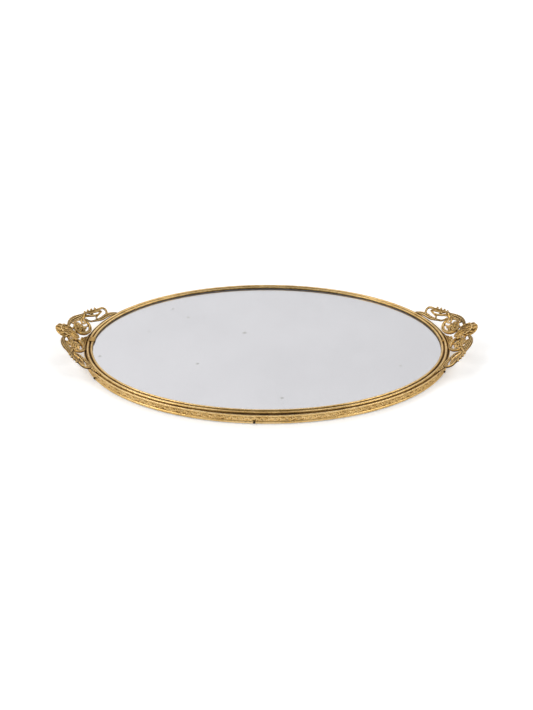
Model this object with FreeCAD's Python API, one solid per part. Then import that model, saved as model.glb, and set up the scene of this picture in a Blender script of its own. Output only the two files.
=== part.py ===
import FreeCAD, Part
import math
import os

# Oval mirrored vanity tray with two openwork scroll handles. Millimetres,
# +Z up, X along the long axis, origin at the centre of the underside.

# Visible mirror: the inner edge of the bead moulding.
MIRROR_HALF_LONG = 182.1
MIRROR_HALF_SHORT = 122.3

# Offsets outward from that edge. They set the widths of the whole rim section.
INNER_BEAD_OUT = 2.4
GLASS_EDGE = 3.0
OUTER_BEAD_IN = 3.9
OUTER_BEAD_OUT = 6.7
SHEET_OUT = 8.1
FRIEZE_GROUND = 8.55
BORDER_OUT = 9.1

# Heights of the stack, from the felt up.
FELT_TOP = 1.2
BAND_BOTTOM = 0.8
BOARD_TOP = 4.2
CARD_TOP = 7.0
GLASS_TOP = 10.0
SHEET_TOP = 10.5
BEAD_TOP = 11.3
BAND_TOP = 10.0
BOTTOM_BORDER_TOP = 3.0
TOP_BORDER_BOTTOM = 8.4
SKIRT_BOTTOM = 8.7
SKIRT_TOP = 10.1
SKIRT_IN = 5.6
SKIRT_OUT = 6.9
LEDGE_TOP = 9.4
LIP_OUT = 7.1
LIP_DROP = 0.3

# Running ornament of the band.
REPEATS_PER_HALF = 23
BOSS_RADIUS = 1.5
STRAND_RADIUS = 0.55
BAR_START = 2.6
BAR_RUN = 3.6
BAR_RISE = 3.0
BOSS_ROOT = 0.3
BOSS_LENGTH = 0.8

# Nails that hold the backing board.
NAIL_HEIGHT = 2.3
NAIL_ANGLES = (25.0, 94.0, 155.0, 205.4, 265.9, 339.2)
NAIL_SHANK_RADIUS = 0.55
NAIL_HEAD_RADIUS = 1.25
NAIL_HEAD_RISE = 1.05
NAIL_LENGTH = 9.0
NAIL_HEAD_ROUND = 0.6

# Soldered repairs of the two seams.
PLATE_GAUGE = 0.5
PLATE_LIP = 0.5
PLATE_OUT = 5.0
PLATE_CROWN_OUT = 2.0
PLATE_EDGE_RISE = 0.2
PLATE_LENGTH = 8.0
PLATE_START = 0.0
SPOT_RADIUS = 1.4
SPOT_OFFSET = 2.9

# Handles: a cast openwork sheet that flares up and out from the rim.
FLARE_SLOPE = 0.6
FLARE_TOP_AT_RIM = GLASS_TOP + 2.6
CAST_DEPTH = 2.9
RING_RISE = 1.3
FLARE_REACH = 34.0
SHEET_LIP = 4.0
BUD_TILT = math.degrees(math.atan(FLARE_SLOPE))

# Plan shapes of the rear half of the right handle. x runs out from the
# tray's centre and y back from its long axis.
OUTER_RUNS = (
    ((166.9, 62.3), (171.6, 59.3), (175.8, 56.0)),
    ((175.8, 56.0), (176.6, 58.4), (179.8, 60.8), (183.2, 59.0),
     (186.8, 54.2), (189.3, 51.2)),
    ((189.3, 51.2), (190.7, 52.3), (191.8, 49.8), (192.9, 46.9)),
    ((192.9, 46.9), (194.8, 46.8), (195.9, 44.8), (196.8, 42.1), (197.2, 40.8)),
    ((197.2, 40.8), (198.6, 40.6), (199.4, 38.5), (201.6, 36.4),
     (205.4, 31.5), (208.6, 25.2), (210.2, 18.9), (209.3, 14.7), (208.4, 10.4)),
    ((208.4, 10.4), (208.6, 7.0), (208.0, 3.0)),
    ((208.0, 3.0), (204.0, 2.2), (199.5, 2.6)),
    ((199.5, 2.6), (199.8, 5.0), (199.2, 6.6)),
    ((199.2, 6.6), (196.8, 5.8), (194.2, 6.0), (191.3, 8.9), (188.8, 13.7),
     (187.4, 18.9), (188.6, 24.7), (191.4, 29.4), (195.3, 31.2)),
    ((195.3, 31.2), (194.4, 32.5), (190.3, 32.7), (187.4, 35.6),
     (183.2, 39.5), (179.4, 43.6), (176.2, 47.4), (173.4, 50.8),
     (170.0, 56.0), (166.9, 62.3)),
)
OPENINGS = (
    ((178.3, 55.0), (180.4, 57.2), (182.2, 55.6), (180.7, 53.4),
     (183.4, 47.5), (183.8, 45.6), (180.6, 48.4)),
    ((184.3, 51.0), (187.4, 48.2), (189.1, 45.3), (186.2, 46.6)),
    ((190.3, 43.6), (193.4, 43.3), (194.8, 40.9), (191.9, 41.7)),
    ((185.7, 42.7), (188.3, 40.9), (191.5, 38.0), (194.6, 36.2),
     (193.0, 35.4), (189.6, 35.7), (187.3, 38.8)),
    ((192.7, 26.4), (192.2, 23.7), (194.7, 21.9), (197.6, 23.1), (195.4, 24.4)),
    ((191.5, 21.8), (193.6, 18.6), (193.2, 17.4), (191.4, 20.0)),
    ((200.0, 24.7), (203.0, 23.0), (204.0, 20.8), (201.2, 22.2)),
    ((205.2, 18.8), (204.2, 14.6), (204.8, 11.1), (206.4, 15.0)),
    ((204.4, 8.4), (202.5, 5.6), (204.0, 4.8)),
)
RING_CENTRE = (196.8, 18.7)
RING_HALF_WIDTH = 8.5
RING_HALF_LENGTH = 11.9
RING_TUBE = 2.7
RING_ROOT = 1.1
ROSETTE_CENTRE = (197.4, 16.8)
ROSETTE_PETALS = 6
ROSETTE_SEAT = 1.2
PETAL_REACH = 2.8
PETAL_RADIUS = 1.9
BUTTON_RADIUS = 1.8
BUTTON_RISE = 0.5

# Clasp that stands on the rim outside the outer bead at each end of the tray.
CLASP_RUN = ((189.0, 0.0), (188.9, -5.0), (188.4, -10.0), (188.2, -15.2), (189.6, -12.4),
             (191.2, -7.6), (194.0, -4.6), (195.2, 0.0), (194.0, 4.6), (191.2, 7.6),
             (189.6, 12.4), (188.2, 15.2), (188.4, 10.0), (188.9, 5.0))
CLASP_TOP_AT_RIM = GLASS_TOP + 2.2
CLASP_CEILING = 20.0

# Bud: distance along the slope, half width and half depth of its sections,
# from the tongue at its foot to the shell at its outer end.
BUD_START = (195.3, 15.9)
BUD_SECTIONS = ((0.6, 1.7, 1.0), (3.5, 3.3, 1.7), (8.0, 4.3, 2.2), (12.0, 7.9, 2.9),
                (17.0, 10.4, 3.2), (22.0, 9.4, 2.9), (26.0, 5.8, 2.0), (28.0, 2.0, 0.9))
SCALLOPS = 6
SCALLOP_STEP = 25.0
SCALLOP_HUB = 17.0
SCALLOP_REACH = 11.3
SCALLOP_RADIUS = 1.0

FAR = 400.0
ALONG_X = FreeCAD.Vector(1, 0, 0)
ALONG_Y = FreeCAD.Vector(0, 1, 0)


def ellipse_edge(offset, z):
    """Ellipse of the rim, moved outward by offset, at height z."""
    long_half = MIRROR_HALF_LONG + offset
    short_half = MIRROR_HALF_SHORT + offset
    centre = FreeCAD.Vector(0, 0, z)
    return Part.Ellipse(centre, long_half, short_half).toShape()


def oval(offset, bottom, top):
    """Solid oval slab between two heights."""
    face = Part.Face(Part.Wire([ellipse_edge(offset, bottom)]))
    return face.extrude(FreeCAD.Vector(0, 0, top - bottom))


def half_ring(inner, outer, bottom, top):
    """Rear half of an oval frame between two offsets."""
    arcs = []
    for offset in (inner, outer):
        curve = Part.Ellipse(FreeCAD.Vector(0, 0, bottom), MIRROR_HALF_LONG + offset,
                             MIRROR_HALF_SHORT + offset)
        arcs.append(curve.toShape(0, math.pi))
    ends = []
    for end in (0, -1):
        ends.append(Part.makeLine(arcs[0].Vertexes[end].Point, arcs[1].Vertexes[end].Point))
    outline = Part.Wire(Part.__sortEdges__(arcs + ends))
    return Part.Face(outline).extrude(FreeCAD.Vector(0, 0, top - bottom))


def rim_sweep(profile):
    """Rear half of a moulding: the (offset, height) profile run along the rim."""
    end = MIRROR_HALF_LONG
    edges = []
    for run in profile:
        points = [FreeCAD.Vector(end + offset, 0, z) for offset, z in run]
        if len(points) == 3:
            edges.append(Part.Arc(points[0], points[1], points[2]).toShape())
        else:
            edges.append(Part.makeLine(points[0], points[1]))
    spine = Part.Ellipse(FreeCAD.Vector(0, 0, GLASS_TOP), MIRROR_HALF_LONG, MIRROR_HALF_SHORT)
    path = Part.Wire([spine.toShape(0, math.pi)])
    return path.makePipeShell([Part.Wire(edges)], True, False)


def cone_solid(height_at_rim, first, last):
    """Oval cone over the flared surface, between two distances from the rim."""
    wires = []
    for distance in (first, last):
        z = height_at_rim + FLARE_SLOPE * distance
        wires.append(Part.Wire([ellipse_edge(OUTER_BEAD_OUT + distance, z)]))
    return Part.makeLoft(wires, True, True)


def flared_sheet(top_at_rim, depth):
    """Flared shell under the surface that starts at top_at_rim."""
    lower = cone_solid(top_at_rim - depth, -SHEET_LIP, FLARE_REACH)
    upper = cone_solid(top_at_rim, -2 * SHEET_LIP, FLARE_REACH + SHEET_LIP)
    return lower.cut(upper)


def run_edge(points):
    """Smooth edge through plan points."""
    curve = Part.BSplineCurve()
    curve.interpolate([FreeCAD.Vector(x, y, 0) for x, y in points])
    return curve.toShape()


def closed_face(points):
    """Face inside a smooth closed curve."""
    curve = Part.BSplineCurve()
    vectors = [FreeCAD.Vector(x, y, 0) for x, y in points]
    curve.interpolate(Points=vectors, PeriodicFlag=True)
    return Part.Face(Part.Wire([curve.toShape()]))


def prism(face):
    """Tall column over a plan face."""
    return face.extrude(FreeCAD.Vector(0, 0, FAR / 4))


def biggest(shape):
    """The largest solid of a shape, so that slivers are dropped."""
    return max(shape.Solids, key=lambda solid: solid.Volume)


def scroll_blank():
    """Rear scroll of the right handle before it is fitted to its neighbours."""
    outline = Part.Face(Part.Wire([run_edge(points) for points in OUTER_RUNS]))
    holes = [closed_face(points) for points in OPENINGS]
    plate = outline.cut(holes)
    sheet = flared_sheet(FLARE_TOP_AT_RIM, CAST_DEPTH)
    body = prism(plate).common(sheet)
    centre = FreeCAD.Vector(RING_CENTRE[0], RING_CENTRE[1], 0)
    upright = FreeCAD.Rotation(FreeCAD.Vector(0, 0, 1), 90)
    rings = []
    for shrink in (0.0, RING_TUBE):
        curve = Part.Ellipse(FreeCAD.Vector(0, 0, 0), RING_HALF_LENGTH - shrink, RING_HALF_WIDTH - shrink)
        edge = curve.toShape()
        edge.Placement = FreeCAD.Placement(centre, upright)
        rings.append(Part.Face(Part.Wire([edge])))
    annulus = rings[0].cut(rings[1])
    raised = flared_sheet(FLARE_TOP_AT_RIM + RING_RISE, RING_RISE + RING_ROOT)
    tube = prism(annulus).common(raised)
    return biggest(body.fuse(tube))


def along_slope(distance, across):
    """Point on the bud's own slope, in the tray's frame."""
    tilt = math.radians(BUD_TILT)
    x = BUD_START[0] + distance * math.cos(tilt)
    z = BUD_START[1] + distance * math.sin(tilt)
    return FreeCAD.Vector(x, across, z)


def bud_blank():
    """Right bud: a tongue that widens along the slope into a scalloped shell."""
    tilt = math.radians(BUD_TILT)
    axis = FreeCAD.Vector(math.cos(tilt), 0, math.sin(tilt))
    face_normal = axis.cross(ALONG_Y)
    upright = FreeCAD.Rotation(ALONG_Y, face_normal, axis, "ZXY")
    wires = []
    for distance, half_width, half_depth in BUD_SECTIONS:
        curve = Part.Ellipse(FreeCAD.Vector(0, 0, 0), half_width, half_depth)
        edge = curve.toShape(-math.pi / 2, 3 * math.pi / 2)
        edge.Placement = FreeCAD.Placement(along_slope(distance, 0), upright)
        wires.append(Part.Wire([edge]))
    pod = Part.makeLoft(wires, True, False)
    notches = []
    for index in range(SCALLOPS):
        turn = math.radians(SCALLOP_STEP * (index - (SCALLOPS - 1) / 2))
        distance = SCALLOP_HUB + SCALLOP_REACH * math.cos(turn)
        middle = along_slope(distance, SCALLOP_REACH * math.sin(turn))
        start = middle - face_normal * SCALLOP_REACH
        notches.append(Part.makeCylinder(SCALLOP_RADIUS, 2 * SCALLOP_REACH, start, face_normal))
    return biggest(pod.cut(notches))


def clasp_blank():
    """Right clasp: a leaf-shaped bracket on the rim, sloped like the handle."""
    column = prism(closed_face(CLASP_RUN))
    lid = Part.makeBox(FAR, FAR, FAR, FreeCAD.Vector(0, -FAR / 2, CLASP_CEILING))
    foot = Part.makeBox(FAR, FAR, TOP_BORDER_BOTTOM, FreeCAD.Vector(0, -FAR / 2, 0))
    above = cone_solid(CLASP_TOP_AT_RIM, -2 * SHEET_LIP, FLARE_REACH)
    return biggest(column.cut([lid, foot, above]))


def rosette_blank():
    """Rear rosette of the right handle, seated on the scroll's web."""
    x, y = ROSETTE_CENTRE
    out = x - MIRROR_HALF_LONG - OUTER_BEAD_OUT + ROSETTE_SEAT
    z = FLARE_TOP_AT_RIM + FLARE_SLOPE * out
    petals = []
    for index in range(ROSETTE_PETALS):
        turn = 2 * math.pi * index / ROSETTE_PETALS
        centre = FreeCAD.Vector(PETAL_REACH * math.cos(turn), PETAL_REACH * math.sin(turn), 0)
        petals.append(Part.makeSphere(PETAL_RADIUS, centre))
    button = Part.makeSphere(BUTTON_RADIUS, FreeCAD.Vector(0, 0, BUTTON_RISE))
    flower = button.fuse(petals)
    flower.Placement = FreeCAD.Placement(
        FreeCAD.Vector(x, y, z), FreeCAD.Rotation(ALONG_Y, -BUD_TILT))
    return flower


def mirrored(shape, normal):
    """Copy reflected in a plane through the origin."""
    return shape.mirror(FreeCAD.Vector(0, 0, 0), normal)


def rim_point(angle, offset, z):
    """Point on the rim ellipse, and its outward direction in plan."""
    turn = math.radians(angle)
    long_half = MIRROR_HALF_LONG + offset
    short_half = MIRROR_HALF_SHORT + offset
    point = FreeCAD.Vector(long_half * math.cos(turn), short_half * math.sin(turn), z)
    normal = FreeCAD.Vector(math.cos(turn) / long_half, math.sin(turn) / short_half, 0)
    normal.normalize()
    return point, normal


def bezel_half():
    """Rear half of the double-beaded frame, with its skirt and sunk ledge."""
    inner_crown = (INNER_BEAD_OUT / 2, BEAD_TOP)
    outer_crown = ((OUTER_BEAD_IN + OUTER_BEAD_OUT) / 2, BEAD_TOP)
    moulding = rim_sweep((
        ((0, GLASS_TOP), (0, SHEET_TOP)),
        ((0, SHEET_TOP), inner_crown, (INNER_BEAD_OUT, SHEET_TOP)),
        ((INNER_BEAD_OUT, SHEET_TOP), (OUTER_BEAD_IN, SHEET_TOP)),
        ((OUTER_BEAD_IN, SHEET_TOP), outer_crown, (OUTER_BEAD_OUT, SHEET_TOP)),
        ((OUTER_BEAD_OUT, SHEET_TOP), (LIP_OUT, SHEET_TOP - LIP_DROP)),
        ((LIP_OUT, SHEET_TOP - LIP_DROP), (LIP_OUT, GLASS_TOP)),
        ((LIP_OUT, GLASS_TOP), (0, GLASS_TOP)),
    ))
    skirt = half_ring(SKIRT_IN, SKIRT_OUT, SKIRT_BOTTOM, SKIRT_TOP)
    ledge = half_ring(SKIRT_IN, SHEET_OUT, SKIRT_BOTTOM, LEDGE_TOP)
    return moulding.fuse([skirt, ledge])


def ornament_marks():
    """Angles along the rear half where the running ornament repeats."""
    half = Part.Ellipse(FreeCAD.Vector(0, 0, 0), MIRROR_HALF_LONG + FRIEZE_GROUND,
                        MIRROR_HALF_SHORT + FRIEZE_GROUND)
    edge = half.toShape(0, math.pi)
    pitch = edge.Length / REPEATS_PER_HALF
    marks = []
    for index in range(REPEATS_PER_HALF):
        parameter = edge.getParameterByLength(pitch * (index + 0.5))
        marks.append(math.degrees(parameter))
    return marks


def band_half():
    """Rear half of the upright band, with its borders and running ornament."""
    wall = half_ring(SHEET_OUT, FRIEZE_GROUND, BAND_BOTTOM, BAND_TOP)
    foot = half_ring(SHEET_OUT, BORDER_OUT, BAND_BOTTOM, BOTTOM_BORDER_TOP)
    head = half_ring(SHEET_OUT, BORDER_OUT, TOP_BORDER_BOTTOM, BAND_TOP)
    raised = [foot, head]
    for angle in ornament_marks():
        raised.extend(ornament(angle))
    return biggest(wall.fuse(raised))


def ornament(angle):
    """One flower boss of the frieze with a leaning leaf bar at each side."""
    middle = (BOTTOM_BORDER_TOP + TOP_BORDER_BOTTOM) / 2
    point, normal = rim_point(angle, FRIEZE_GROUND - BOSS_ROOT, middle)
    boss = Part.makeCylinder(BOSS_RADIUS, BOSS_LENGTH, point, normal)
    along = FreeCAD.Vector(-normal.y, normal.x, 0)
    up = FreeCAD.Vector(0, 0, 1)
    parts = [boss]
    for side in (-1, 1):
        start = point + along * (side * BAR_START) - up * (BAR_RISE / 2)
        run = along * (side * BAR_RUN) + up * BAR_RISE
        parts.append(Part.makeCylinder(STRAND_RADIUS, run.Length, start, run))
    return parts


def nail_shank(angle, proud):
    """Shank of one nail, driven into the board and standing proud of the band."""
    point, normal = rim_point(angle, BORDER_OUT, NAIL_HEIGHT)
    return Part.makeCylinder(NAIL_SHANK_RADIUS, NAIL_LENGTH + proud, point + normal * proud, normal * -1)


def nail(angle):
    """Whole nail: the shank with a low rounded head that sits on the band."""
    point, normal = rim_point(angle, BORDER_OUT, NAIL_HEIGHT)
    head = Part.makeCylinder(NAIL_HEAD_RADIUS, NAIL_HEAD_RISE, point, normal)
    crown = point + normal * NAIL_HEAD_RISE
    rims = [edge for edge in head.Edges if edge.CenterOfMass.distanceToPoint(crown) < NAIL_HEAD_ROUND / 2]
    head = head.makeFillet(NAIL_HEAD_ROUND, rims)
    return nail_shank(angle, 0).fuse(head)


def seam_plate():
    """Smooth plate soldered over the left-hand seam of the beads."""
    crown = (PLATE_CROWN_OUT, BEAD_TOP + PLATE_GAUGE)
    edge = (PLATE_OUT, BEAD_TOP + PLATE_EDGE_RISE)
    cap = rim_sweep((
        ((-PLATE_LIP, SHEET_TOP), crown, edge),
        (edge, (PLATE_OUT, SHEET_TOP)),
        ((PLATE_OUT, SHEET_TOP), (-PLATE_LIP, SHEET_TOP)),
    ))
    keep = Part.makeBox(PLATE_LENGTH * 2, PLATE_LENGTH, PLATE_LENGTH,
                        FreeCAD.Vector(-MIRROR_HALF_LONG - PLATE_LENGTH, PLATE_START, GLASS_TOP))
    return cap.common(keep)


def solder_spot():
    """Small dome of solder on the right-hand seam."""
    seat = FreeCAD.Vector(MIRROR_HALF_LONG + SPOT_OFFSET, 0, SHEET_TOP)
    return Part.makeSphere(SPOT_RADIUS, seat)


def save(name, shape):
    shape.exportStep("parts/" + name + ".step")


def save_rim(bezel, band):
    """The framing round the mirror, with the nails driven through the band."""
    shanks = [nail_shank(angle, NAIL_HEAD_RISE) for angle in NAIL_ANGLES]
    save("bezel_rear", bezel)
    save("bezel_front", mirrored(bezel, ALONG_Y))
    save("band_rear", biggest(band.cut(shanks)))
    save("band_front", biggest(mirrored(band, ALONG_Y).cut(shanks)))
    save("nails", Part.makeCompound([nail(angle) for angle in NAIL_ANGLES]))
    board = oval(SHEET_OUT, FELT_TOP, BOARD_TOP)
    save("backing_board", biggest(board.cut(shanks)))


def save_stack():
    """The flat layers inside the rim."""
    save("base_felt", oval(SHEET_OUT, 0, FELT_TOP))
    save("cushion_sheet", oval(GLASS_EDGE, BOARD_TOP, CARD_TOP))
    save("mirror_plate", oval(GLASS_EDGE, CARD_TOP, GLASS_TOP))


def save_handles(bezel, band):
    """Both handles: each piece is cut back to seat on the ones before it."""
    rim = [bezel, band, mirrored(bezel, ALONG_Y), mirrored(band, ALONG_Y)]
    clasp = biggest(clasp_blank().cut(rim))
    bud = biggest(bud_blank().cut(clasp))
    scroll = biggest(scroll_blank().cut([bezel, band, clasp, bud]))
    rosette = biggest(rosette_blank().cut(scroll))
    plate = seam_plate().cut([bezel, mirrored(clasp, ALONG_X)])
    save("seam_plate_left", biggest(plate))
    spot = solder_spot().cut([bezel, mirrored(bezel, ALONG_Y), clasp])
    save("seam_solder_right", biggest(spot))
    single = {"clasp": clasp, "bud": bud}
    paired = {"scroll": scroll, "rosette": rosette}
    for name, shape in single.items():
        save("handle_right_" + name, shape)
        save("handle_left_" + name, mirrored(shape, ALONG_X))
    for name, shape in paired.items():
        ahead = mirrored(shape, ALONG_Y)
        save("handle_right_" + name + "_rear", shape)
        save("handle_right_" + name + "_front", ahead)
        save("handle_left_" + name + "_rear", mirrored(shape, ALONG_X))
        save("handle_left_" + name + "_front", mirrored(ahead, ALONG_X))


def main():
    os.makedirs("parts", exist_ok=True)
    bezel = bezel_half()
    band = band_half()
    save_rim(bezel, band)
    save_stack()
    save_handles(bezel, band)


main()
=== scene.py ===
import math
import bpy
import numpy as np
from mathutils import Euler, Matrix, Vector


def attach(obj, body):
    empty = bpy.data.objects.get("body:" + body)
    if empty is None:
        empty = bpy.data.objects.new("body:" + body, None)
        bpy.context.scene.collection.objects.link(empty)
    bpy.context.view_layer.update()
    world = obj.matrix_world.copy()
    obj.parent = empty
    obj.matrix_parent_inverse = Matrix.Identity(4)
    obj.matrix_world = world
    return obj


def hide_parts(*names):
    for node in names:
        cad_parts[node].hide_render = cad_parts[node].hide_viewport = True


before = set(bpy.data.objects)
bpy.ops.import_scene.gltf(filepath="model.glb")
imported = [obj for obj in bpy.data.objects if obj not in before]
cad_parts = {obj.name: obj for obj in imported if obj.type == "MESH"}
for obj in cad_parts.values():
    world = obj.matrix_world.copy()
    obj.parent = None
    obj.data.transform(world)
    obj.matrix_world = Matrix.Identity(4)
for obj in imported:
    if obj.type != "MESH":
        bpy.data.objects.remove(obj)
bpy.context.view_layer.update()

# Lengths below are millimetres unless a name says otherwise.
MM = 0.001

# Rim section, as offsets from the visible mirror's edge, and heights.
HALF_LONG = 182.1
HALF_SHORT = 122.3
BEAD_OUT = 6.7
GLASS_EDGE = 3.0
SHEET_OUT = 8.1
GROUND = 8.55
BORDER_OUT = 9.1
GLASS_TOP = 10.0
CARD_TOP = 7.0
BAND_BOTTOM = 0.8
BAND_TOP = 10.0

# Handle sheet: height of its face at the rim and its slope.
FACE_AT_RIM = 12.6
SLOPE = 0.6
SHEET_COS = 1 / math.hypot(1, SLOPE)
SHEET_SIN = SLOPE * SHEET_COS
FACE_N = 1.25

# Step of the blocks that the castings are modelled in.
CASTING_STEP = 0.25


# ---------- meshes

def add_piece(name, points, faces, material, nodes, smooth=True, patina_and_painted_light=None):
    """A mesh object from millimetre points that stands for some CAD nodes.

    The per-point values say how deep each point lies below its surroundings, with painted shade and
    painted highlights added in places; the material settles patina and painted shade in the deep places
    and gives the high places gilt wear with a painted highlight."""
    mesh = bpy.data.meshes.new(name)
    mesh.from_pydata((np.asarray(points) * MM).tolist(), [], [list(map(int, f)) for f in faces])
    if patina_and_painted_light is not None:
        values = mesh.attributes.new("patina_and_painted_light", "FLOAT", "POINT").data
        values.foreach_set("value", np.asarray(patina_and_painted_light, np.float32))
    mesh.polygons.foreach_set("use_smooth", [smooth] * len(mesh.polygons))
    mesh.materials.append(material)
    obj = bpy.data.objects.new(name, mesh)
    bpy.context.scene.collection.objects.link(obj)
    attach(obj, "root")
    if nodes:
        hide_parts(*nodes)
    return obj


def surface_net(field, low, step):
    """Closed quad mesh round the part of a block where field is below zero."""
    inside = field < 0
    shape = np.array(field.shape) - 1
    total = np.zeros(tuple(shape) + (3,))
    count = np.zeros(tuple(shape))
    quads = []
    index = np.full(tuple(shape), -1)
    crossings = []
    for axis in range(3):
        first = [slice(None)] * 3
        second = [slice(None)] * 3
        first[axis] = slice(0, -1)
        second[axis] = slice(1, None)
        a, b = field[tuple(first)], field[tuple(second)]
        crossed = inside[tuple(first)] != inside[tuple(second)]
        along = np.where(crossed, a / np.where(crossed, a - b, 1), 0)
        u, v = [i for i in range(3) if i != axis]
        for du in (0, 1):
            for dv in (0, 1):
                part = [slice(None)] * 3
                part[u] = slice(du, du + shape[u])
                part[v] = slice(dv, dv + shape[v])
                hit = crossed[tuple(part)]
                total[..., axis] += along[tuple(part)]
                total[..., u] += hit * du
                total[..., v] += hit * dv
                count += hit
        crossings.append((axis, u, v, crossed, inside[tuple(first)]))
    live = count > 0
    index[live] = np.arange(live.sum())
    cells = np.argwhere(live)
    points = np.asarray(low) + step * (cells + total[live] / count[live][:, None])
    for axis, u, v, crossed, starts_inside in crossings:
        where = np.argwhere(crossed)
        keep = (where[:, u] > 0) & (where[:, v] > 0) & (where[:, u] < shape[u]) & (where[:, v] < shape[v])
        where = where[keep]
        ring = []
        for du, dv in ((1, 1), (0, 1), (0, 0), (1, 0)):
            cell = where.copy()
            cell[:, u] -= du
            cell[:, v] -= dv
            ring.append(index[cell[:, 0], cell[:, 1], cell[:, 2]])
        ring = np.stack(ring, 1)
        forward = starts_inside[where[:, 0], where[:, 1], where[:, 2]]
        if axis == 1:
            forward = ~forward
        ring[~forward] = ring[~forward][:, ::-1]
        quads.append(ring)
    return points, np.concatenate(quads)


def neighbours(quads, count):
    """Pairs of joined points, and how many pairs each point is in."""
    pairs = np.concatenate([quads[:, [corner, (corner + 1) % 4]] for corner in range(4)])
    ends = np.bincount(pairs.ravel(), minlength=count)[:, None]
    return pairs, np.maximum(ends, 1)


def neighbour_mean(points, pairs, ends):
    """Mean place of the points joined to each point."""
    near = np.zeros_like(points)
    for axis in range(3):
        near[:, axis] += np.bincount(pairs[:, 0], points[pairs[:, 1], axis], len(points))
        near[:, axis] += np.bincount(pairs[:, 1], points[pairs[:, 0], axis], len(points))
    return near / ends


def relax(points, quads, rounds):
    """Light smoothing that takes the voxel steps out of a surface."""
    pairs, ends = neighbours(quads, len(points))
    for number in range(rounds):
        # A pull inward and then a weaker push outward keep the volume.
        pull = 0.55 if number % 2 == 0 else -0.5
        points = points + pull * (neighbour_mean(points, pairs, ends) - points)
    return points


def normals(points, quads):
    """Outward unit normal at each point."""
    across = points[quads[:, 2]] - points[quads[:, 0]]
    facing = np.cross(across, points[quads[:, 3]] - points[quads[:, 1]])
    normal = np.zeros_like(points)
    for corner in range(4):
        for axis in range(3):
            normal[:, axis] += np.bincount(quads[:, corner], facing[:, axis], len(points))
    return normal / np.maximum(np.linalg.norm(normal, axis=1), 1e-9)[:, None]


def hollows(points, quads, rounds=6):
    """How far each point lies below the smoothed surface round it, in spreads."""
    soft = points
    pairs, ends = neighbours(quads, len(points))
    for _ in range(rounds):
        soft = 0.4 * soft + 0.6 * neighbour_mean(soft, pairs, ends)
    depth = ((soft - points) * normals(points, quads)).sum(1)
    return np.clip((depth - np.median(depth)) / depth.std(), -3, 3)


THINNEST = 0.15


def smooth_run(points, spacing=0.25):
    """Catmull-Rom samples through rows of (x, y, radius, lift)."""
    rows = np.array(points, float)
    padded = np.vstack([2 * rows[0] - rows[1], rows, 2 * rows[-1] - rows[-2]])
    samples = []
    for i in range(len(rows) - 1):
        p0, p1, p2, p3 = padded[i:i + 4]
        steps = max(3, int(np.hypot(*(p2 - p1)[:2]) / spacing))
        t = (np.arange(steps) / steps)[:, None]
        samples.append(0.5 * (2 * p1 + (p2 - p0) * t + (2 * p0 - 5 * p1 + 4 * p2 - p3) * t ** 2
                              + (3 * p1 - p0 - 3 * p2 + p3) * t ** 3))
    run = np.vstack(samples + [rows[-1:]])
    run[:, 2] = np.maximum(run[:, 2], THINNEST)
    return run


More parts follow.
